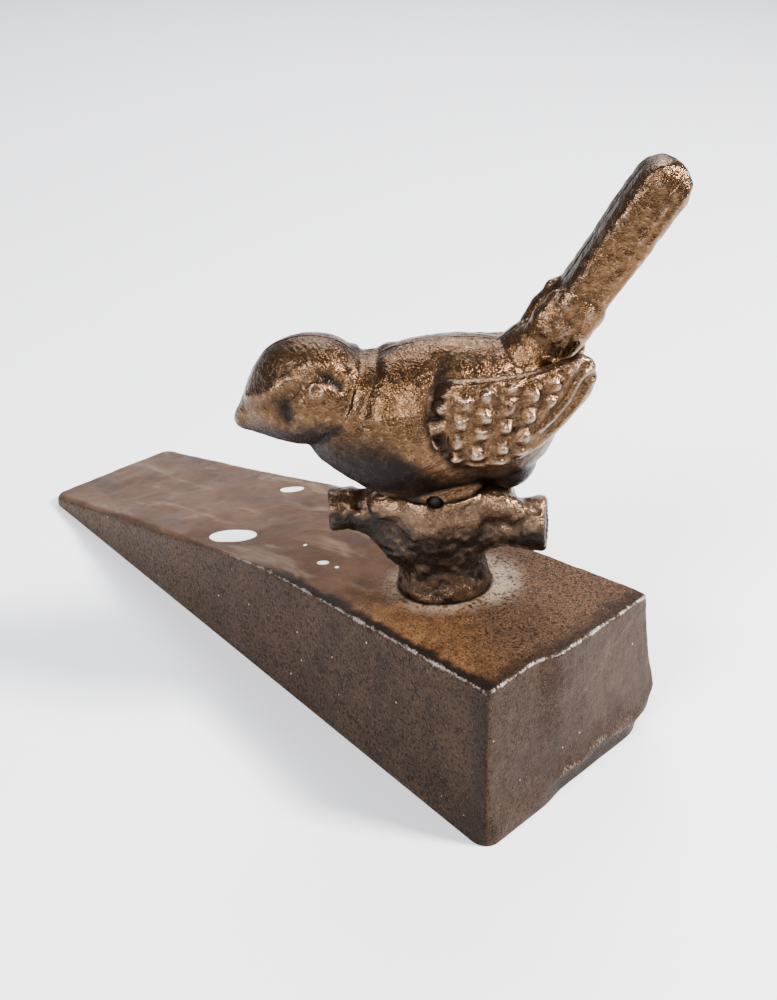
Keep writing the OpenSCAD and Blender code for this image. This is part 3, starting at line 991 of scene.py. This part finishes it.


# How much each point is left out of the painted shade, 0 to 1: painted shade darkens the crown, the lore and
# the brow, under the throat and the belly, round the wing's front and along the tail's upper face.
def birdPaintedLight(p, n):
    x, y, z = p.T
    blur = 0.7 * layered(p, 3.0, 55, 2)
    crownLine = np.interp(x, [12, 18, 23.9, 27.4, 31.2, 33], [48.0, 48.0, 45.6, 43.4, 41.2, 38.5])
    crown = smoothStep(z + blur - crownLine, -0.9, 1.2) * smoothStep(x, 9, 13)
    lore = bell(np.hypot(x - 24.9 - 0.3 * (z - 39.6), (z - 39.6) / 1.7), 2.0)
    brow = bellAlong([(22.6, 42.8), (20.4, 44.9), (18.6, 45.3), (16.9, 44.9), (15.4, 43.4)], 0.95, x, z)
    brow *= (0.5 + 0.5 * smoothStep(20 - x, 0, 3)) * smoothStep(np.abs(y), 2, 4)
    below = [28, 26.5, 27, 31, 35, 37, 37, 36.8, 36.6, 36]
    below = np.interp(x, [-20, -10, 0, 4, 8, 11, 15, 19, 25, 32], below)
    belly = smoothStep(below + blur - z, -3.0, 3.5) * smoothStep(-n[:, 2], -0.15 - 0.03 * (z - 21), 0.25)
    front = distanceTo(birdShape["wingFront"], x, z)
    arc = bellAlong([(-1.5, 46.0), (-5.0, 46.6), (-9.0, 46.0), (-11.5, 44.6)], 0.8, x, z)
    rim = np.maximum(bell(front + blur, 1.8), 0.7 * arc) * smoothStep(np.abs(y), 4, 6)
    along, across = tailPlace(x, z)
    dorsal = smoothStep(across + 0.5 * blur, 2.0, 3.8) * smoothStep(along, 9, 13)
    # painted shade: how strongly each of these places is darkened
    paintedShade = np.stack([0.42 * crown, 0.8 * lore, 0.8 * brow, 0.95 * belly, 0.45 * rim, 0.42 * dorsal])
    return 1 - paintedShade.max(axis=0)


# the hole is on the joint between branch and bird; a heading is in degrees from the bird's forward direction
pinHole = {"heading": 84, "height": 21.0, "radius": 1.5, "start": 5.2, "reach": 16}
pinShape = {"radius": 1.2, "start": 4.8, "end": 8.2}


# A round bar outwards from the bolt axis at the pin's heading, from one radius to another.
def pinRings(radius, start, end, around=32):
    a = circle(around)
    h = math.radians(pinHole["heading"])
    d = np.array([start, end], float)[:, None]
    x = d * math.cos(h) - radius * np.cos(a) * math.sin(h)
    y = d * math.sin(h) + radius * np.cos(a) * math.cos(h)
    return np.stack([x, y, pinHole["height"] + radius * np.sin(a) + 0 * d], axis=-1)


# A big box: x reaches far, y from one value to another, and z from the seat up.
def sideBox(lowY, highY, far=120):
    seat = birdShape["seat"]
    ring = [(-far, seat), (far, seat), (far, far), (-far, far)]
    return np.array([[(x, y, z) for x, z in ring] for y in (lowY, highY)], float)


# How far each point is a ridge rather than a hollow, 0 to 1.
def ridges(mesh):
    return np.clip(0.5 + standProud(mesh, 14) / 0.5, 0, 1)


# Cutting tools for the bolt's bore, from that height up past the nut's seat, and for the pin's hole.
def boreTools(low):
    hole = pinRings(pinHole["radius"], pinHole["start"], pinHole["reach"])
    return [tool("bore", turnedRings([(boltBore, low), (boltBore, 26)], 40)), tool("pinHole", hole)]


def carveBird():
    piece = fused("bird", birdGrids(), birdShape["voxel"], birdShape["smoothing"])
    mesh = piece.data
    p, n = getPoints(mesh), getNormals(mesh)
    setPoints(mesh, p + birdRelief(p, n)[:, None] * n)
    # the mask of painted shade, and the ridges
    setMasks(mesh, patina=birdPaintedLight(p, n), ridge=ridges(mesh))
    return piece


screwShape = {
    "place": (-7, 0, 37.2), "radius": 2.5, "reach": 6.0, "pitch": 0.9, "threadDepth": 0.45,
    "seat": 8.6, "bore": 2.6, "pocket": 4.5,
    "headRadius": 4.4, "headHeight": 2.8, "slotWidth": 1.2, "slotDepth": 1.3,
}


# From the screw's own axis, head up, to the figure: up becomes the bird's right.
def onFlank(points):
    return points @ np.array([[1.0, 0, 0], [0, 0, 1], [0, -1, 0]]) + np.array(screwShape["place"])


# One half of the bird: what lies on its side of the middle plane, hollow, with the bolt's bore and, on the
# right, the screw's.
def halfBird(whole, name, node, side, material):
    piece = place(name, whole.data.copy())
    cut(piece, [tool("keep", sideBox(0, 60) if side > 0 else sideBox(-60, 0))], "INTERSECT")
    h = birdShape["hollow"]
    core = egg(h["centre"], h["radii"], h["pitch"], 30, 40)
    core[..., 2] = np.maximum(core[..., 2], h["floor"])
    tools = [tool("core", core)] + boreTools(15)
    if side < 0:
        s = screwShape
        pocket = [(s["pocket"], s["seat"]), (s["pocket"], s["seat"] + 12)]
        bore = [(s["bore"], -2), (s["bore"], s["seat"] + 2)]
        tools.append(tool("pocket", onFlank(turnedRings(pocket, 48))))
        tools.append(tool("screwBore", onFlank(turnedRings(bore, 40))))
    cut(piece, tools)
    setPoints(piece.data, onFigure(getPoints(piece.data)))
    finish(piece, "figure", "bird_iron", material, node)
    return piece


bird = carveBird()
print("bird carved")
bronze = birdBronze()
halfBird(bird, "birdLeft", "bird_left_half", 1, bronze)
halfBird(bird, "birdRight", "bird_right_half", -1, bronze)
bpy.data.objects.remove(bird)
print("bird halved")

perchShape = {
    "voxel": 0.40, "smoothing": 5, "seat": 21.0,
    # radius, height
    "trunk": [(8.5, 0), (8.7, 0.8), (8.2, 3), (7.7, 6), (8, 9), (8.9, 12.5), (9.5, 16.5), (9.4, 20), (9, 21)],
    # x, y, z, radius of the two stubs, then of the knots and the saddle that the bird sits in
    "limbs": [
        [(1, 0, 8.5, 6.6), (6.5, 0, 11.8, 6.2), (11.5, 0, 15.2, 4.5), (15.5, 0, 16.7, 3.8), (20, 0, 17, 4.4)],
        [(-1, 0, 10, 6.5), (-7, 1.2, 12.3, 5.2), (-11.5, 2.2, 13, 4.4), (-15, 2.9, 13, 4.5),
         (-18.8, 3.6, 13, 4.9)],
        [(-4, 3.8, 18, 3.2), (-9, 4.4, 18, 3), (-12.5, 4.6, 16.8, 2.5), (-16, 4.4, 14.8, 1.8)],
        [(-3, 0, 17.5, 5.4), (-9, 0.3, 18, 4.8), (-13.2, 0.4, 18.6, 3)],
        [(5, 3.6, 18.2, 3), (9, 3.2, 18.4, 2.8), (12, 2.4, 18.2, 1.8)],
        [(3, 0, 17.5, 5.2), (8.5, 0, 18.6, 3.6), (10.5, 0, 18.8, 2.4)],
    ],
}


# How far the branch's bark is pushed out, in mm: swells, bark lumps, and saw marks on the two cut ends, which
# are dished.
def barkRelief(p, n):
    x, y, z = p.T
    out = 0.45 * layered(p, 5.0, 71, 3) + 0.16 * layered(p, 1.5, 75, 2)
    out *= smoothStep(z, 0.0, 2.0)
    front = smoothStep(n[:, 0], 0.80, 0.95) * smoothStep(x, 17, 19)
    rear = smoothStep(-n[:, 0], 0.80, 0.95) * smoothStep(-x, 15.5, 17.5)
    frontDish = smoothStep(3.4 - np.hypot(y, z - 17.0), 0, 0.8)
    rearDish = smoothStep(3.8 - np.hypot(y - 3.6, z - 13.0), 0, 0.8)
    out = out * (1 - 0.7 * front) * (1 - 0.7 * rear)
    out += front * (0.06 * np.cos(2 * math.pi * (z + 0.3 * y) / 0.9) - 0.35 * frontDish)
    out += rear * (0.05 * np.cos(2 * math.pi * (z - 0.2 * y) / 0.9) - 0.35 * rearDish)
    return out - 0.7 * bellAlong([(13.2, 21.2), (14.6, 18.6)], 0.7, x, z) * smoothStep(y, -1, 1)


def makePerch(material):
    s = perchShape
    outline = splineThrough([(0.05, 0)] + s["trunk"] + [(0.05, s["seat"])], 90)
    outline[:, 1] = np.clip(outline[:, 1], 0, s["seat"])
    grids = [turnedRings(outline)] + [branchRings(stations) for stations in s["limbs"]]
    perch = fused("perch", grids, s["voxel"], s["smoothing"])
    mesh = perch.data
    p, n = getPoints(mesh), getNormals(mesh)
    p = p + barkRelief(p, n)[:, None] * n
    p[:, 2] = np.clip(p[:, 2], 0, s["seat"])
    setPoints(mesh, p)
    sawn = smoothStep(np.abs(n[:, 0]), 0.75, 0.92) * smoothStep(np.abs(p[:, 0]), 15.5, 17.5)
    setMasks(mesh, ridge=ridges(mesh), upward=getNormals(mesh)[:, 2], sawn=sawn)
    cut(perch, boreTools(-5))
    setPoints(perch.data, onFigure(getPoints(perch.data)))
    finish(perch, "figure", "branch_iron", material, "branch_perch")


makePerch(branchIron())
print("perch made")

boltShape = {
    "radius": 3.0, "pitch": 1.0, "threadDepth": 0.55, "length": 50, "threadLength": 22, "headAcross": 10,
    "headHeight": 4.0, "nutHeight": 5.0, "nutBore": 3.02, "washerHeight": 1.6, "washerBore": 3.2,
    "splitOuter": 5.4, "plainOuter": 6.0, "low": -17.7, "nutLow": 26.1, "floor": 24.5,
}


# Radius of a hexagon: half the width across flats over the cosine of the angle from a flat's middle.
def hexRadius(a, across):
    step = math.pi / 3
    off = (a + step / 2) % step - step / 2
    return across / 2 / np.cos(off)


# A hexagon head or nut, cut by a cone at each end so that only its corners are chamfered.
def hexRings(across, low, height, bore=0.0, around=96):
    a = circle(around)
    z = np.array([0, 0, 0.35, 0.7, height - 0.7, height - 0.35, height, height])
    limit = across / 2 * 0.96 + np.minimum(z, height - z)[:, None] * 1.7
    r = np.minimum(hexRadius(a, across)[None, :], limit)
    r[[0, -1]] = max(bore, 0.05)
    return roundZ(r, a, low + z[:, None])


# A threaded bar: the radius falls by the thread depth times a triangle wave of z / pitch - angle / turn,
# fading in where the thread starts.
def boltRings(radius, low, length, threadFrom, pitch, depth, around=40, each=12):
    a = circle(around)
    end = low + length
    thread = np.linspace(threadFrom, end, int((end - threadFrom) / pitch * each))
    z = np.concatenate([np.linspace(low, threadFrom, 6)[:-1], thread])[:, None]
    wave = 2 * np.abs((z / pitch - a / (2 * math.pi)) % 1 - 0.5)
    r = radius - depth * wave * smoothStep(z, threadFrom, threadFrom + 1.5)
    return roundZ(np.minimum(r, radius - 0.6 + (end - z).clip(0)), a, z)


# A washer: a chamfered rectangle carried round the axis.
def washerRings(inner, outer, low, height, around=72, soft=0.15):
    t = np.array([
        (inner + soft, 0), (outer - soft, 0), (outer, soft), (outer, height - soft),
        (outer - soft, height), (inner + soft, height), (inner, height - soft), (inner, soft)])[:, :, None]
    return roundZ(t[:, 0], circle(around), low + t[:, 1]).swapaxes(0, 1)


# A split washer stops short of a full turn, and its ends stand apart by the rise.
def splitWasherRings(inner, outer, low, height, gap=14, rise=0.35, around=72):
    section = washerRings(inner, outer, 0, height - rise, around)[0]
    a = np.radians(np.linspace(gap / 2, 360 - gap / 2, around) + 25)[:, None]
    z = low + section[:, 2] + np.linspace(0, rise, around)[:, None]
    return roundZ(np.hypot(section[:, 0], section[:, 1]), a, z)


def fastener(name, node, slot, material, grids, looped=False):
    piece = place(name, shellMesh(name, [onFigure(grid) for grid in grids], looped))
    finish(piece, "figure", slot, material, node)
    return piece


# The screw along its own axis, head up: a threaded bar, then a pan head whose edge is a quarter circle.
def screwGrids():
    s = screwShape
    seat, radius, height = s["seat"], s["headRadius"], s["headHeight"]
    length = seat + s["reach"] + 0.5
    shank = boltRings(s["radius"], -seat - 0.5, length, 1 - seat, s["pitch"], s["threadDepth"])
    shank[..., 2] *= -1
    t = np.linspace(0, math.pi / 2, 9)
    crown = np.stack([radius - 1 + np.cos(t), height - 0.9 + 0.9 * np.sin(t)], axis=-1)
    foot = [(0.05, 0), (radius - 0.1, 0), (radius, 0.15)]
    head = turnedRings(foot + crown.tolist() + [(0.05, height + 0.15)], 72)
    head[..., 2] += seat
    return head, shank


# The slot that is cut across the screw's head.
def slotGrid():
    s = screwShape
    half, far, low = s["slotWidth"] / 2, s["headRadius"] + 1, s["seat"] + s["headHeight"] - s["slotDepth"]
    ring = [(-far, -half), (far, -half), (far, half), (-far, half)]
    return np.array([[(x, y, z) for x, y in ring] for z in (low, low + 4)])


def makeFasteners():
    b = boltShape
    zinc, worn, black = zincSteel(), screwSteel(), pinSteel()
    low, length, across, thick = b["low"], b["length"], b["headAcross"], b["washerHeight"]
    head = hexRings(across, low - b["headHeight"], b["headHeight"])
    threadFrom = low + length - b["threadLength"]
    shank = boltRings(b["radius"], low - 0.5, length + 0.5, threadFrom, b["pitch"], b["threadDepth"])
    fastener("tieBolt", "tie_bolt", "fastener_steel", zinc, [head, shank])
    split = splitWasherRings(b["washerBore"], b["splitOuter"], low, thick)
    fastener("springWasher", "spring_washer", "fastener_steel", zinc, [split])
    ring = washerRings(b["washerBore"], b["plainOuter"], b["floor"], thick)
    fastener("plainWasher", "plain_washer", "fastener_steel", zinc, [ring], looped=True)
    nut = hexRings(across, b["nutLow"], b["nutHeight"], b["nutBore"]).swapaxes(0, 1)
    fastener("tieNut", "tie_nut", "fastener_steel", zinc, [nut], looped=True)
    pin = pinRings(pinShape["radius"], pinShape["start"], pinShape["end"])
    fastener("locatingPin", "locating_pin", "pin_steel", black, [pin])
    grids = [onFlank(grid) for grid in screwGrids()]
    screw = fastener("halvesScrew", "halves_screw", "screw_steel", worn, grids)
    cut(screw, [tool("slot", onFigure(onFlank(slotGrid())))])


makeFasteners()
print("fasteners made")
